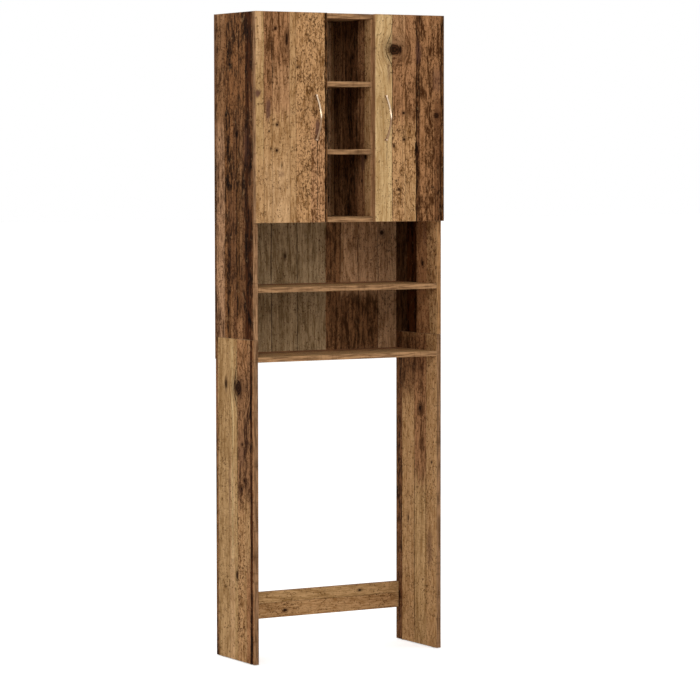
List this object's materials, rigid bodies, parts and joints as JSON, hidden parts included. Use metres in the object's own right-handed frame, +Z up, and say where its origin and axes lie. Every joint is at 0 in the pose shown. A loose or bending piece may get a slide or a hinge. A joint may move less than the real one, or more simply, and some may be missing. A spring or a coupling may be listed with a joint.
{
  "type": "washing machine cabinet",
  "caption": "Tall, shallow cabinet that stands over a washing machine, with hinged cupboards, open niches between them and open shelves above the bay.",
  "frame": {"origin": "on the floor, in the middle of the cabinet's bounding box, handles included", "axes": "+Z up, +X to the viewer's right when facing the doors, +Y from the doors to the back"},
  "size_m": [0.64, 0.285, 1.9],
  "materials": {
    "old_wood": "matt foil printed as reclaimed planks",
    "back_print": "matt foil on thin hardboard",
    "raw_beech": "raw",
    "chrome": "polished",
    "nickel": "nickel plated",
    "white_plastic": "plain"
  },
  "bodies": {
    "carcass": {"back_panel_lower": "back_print", "back_panel_upper": "back_print", "centre_shelf_lower": "old_wood", "centre_shelf_upper": "old_wood", "cupboard_bottom": "old_wood", "cupboard_shelf_left": "old_wood", "cupboard_shelf_right": "old_wood", "divider_left": "old_wood", "divider_right": "old_wood", "dowel_left_front": "raw_beech", "dowel_left_rear": "raw_beech", "dowel_right_front": "raw_beech", "dowel_right_rear": "raw_beech", "glide_left_front": "white_plastic", "glide_left_rear": "white_plastic", "glide_right_front": "white_plastic", "glide_right_rear": "white_plastic", "hinge_arm_left_lower": "nickel", "hinge_arm_left_upper": "nickel", "hinge_arm_right_lower": "nickel", "hinge_arm_right_upper": "nickel", "hinge_plate_left_lower": "nickel", "hinge_plate_left_upper": "nickel", "hinge_plate_right_lower": "nickel", "hinge_plate_right_upper": "nickel", "open_shelf_lower": "old_wood", "open_shelf_upper": "old_wood", "rear_rail": "old_wood", "shelf_pin_left_inner_front": "nickel", "shelf_pin_left_inner_rear": "nickel", "shelf_pin_left_outer_front": "nickel", "shelf_pin_left_outer_rear": "nickel", "shelf_pin_right_inner_front": "nickel", "shelf_pin_right_inner_rear": "nickel", "shelf_pin_right_outer_front": "nickel", "shelf_pin_right_outer_rear": "nickel", "side_left_lower": "old_wood", "side_left_upper": "old_wood", "side_right_lower": "old_wood", "side_right_upper": "old_wood", "top_panel": "old_wood"},
    "left_outer_links": {"outer_link_left_lower": "nickel", "outer_link_left_upper": "nickel"},
    "left_door": {"door_left": "old_wood", "handle_left": "chrome", "hinge_cup_left_lower": "nickel", "hinge_cup_left_upper": "nickel"},
    "left_inner_links": {"inner_link_left_lower": "nickel", "inner_link_left_upper": "nickel"},
    "right_outer_links": {"outer_link_right_lower": "nickel", "outer_link_right_upper": "nickel"},
    "right_door": {"door_right": "old_wood", "handle_right": "chrome", "hinge_cup_right_lower": "nickel", "hinge_cup_right_upper": "nickel"},
    "right_inner_links": {"inner_link_right_lower": "nickel", "inner_link_right_upper": "nickel"}
  },
  "joints": [
    {"name": "left_outer_links_turn", "type": "hinge", "parent": "carcass", "child": "left_outer_links", "pos_m": [-0.2881, -0.0876, 1.595], "axis": [0, 0, 1], "range_deg": [0, 27.2]},
    {"name": "left_door_turn", "type": "hinge", "parent": "left_outer_links", "child": "left_door", "pos_m": [-0.31205, -0.0998, 1.595], "axis": [0, 0, -1], "range_deg": [0, 122.17]},
    {"name": "left_inner_links_turn", "type": "hinge", "parent": "left_door", "child": "left_inner_links", "pos_m": [-0.3076, -0.1021, 1.595], "axis": [0, 0, 1], "range_deg": [0, 127.3]},
    {"name": "right_outer_links_turn", "type": "hinge", "parent": "carcass", "child": "right_outer_links", "pos_m": [0.2881, -0.0876, 1.595], "axis": [0, 0, -1], "range_deg": [0, 27.2]},
    {"name": "right_door_turn", "type": "hinge", "parent": "right_outer_links", "child": "right_door", "pos_m": [0.31205, -0.0998, 1.595], "axis": [0, 0, 1], "range_deg": [0, 122.17]},
    {"name": "right_inner_links_turn", "type": "hinge", "parent": "right_door", "child": "right_inner_links", "pos_m": [0.3076, -0.1021, 1.595], "axis": [0, 0, -1], "range_deg": [0, 127.3]}
  ],
  "couplings": [
    {"joint": "left_outer_links_turn", "follows": "left_door_turn", "ratio": 0.2224},
    {"joint": "left_inner_links_turn", "follows": "left_door_turn", "ratio": 1.0412},
    {"joint": "right_outer_links_turn", "follows": "right_door_turn", "ratio": 0.2224},
    {"joint": "right_inner_links_turn", "follows": "right_door_turn", "ratio": 1.0412}
  ]
}
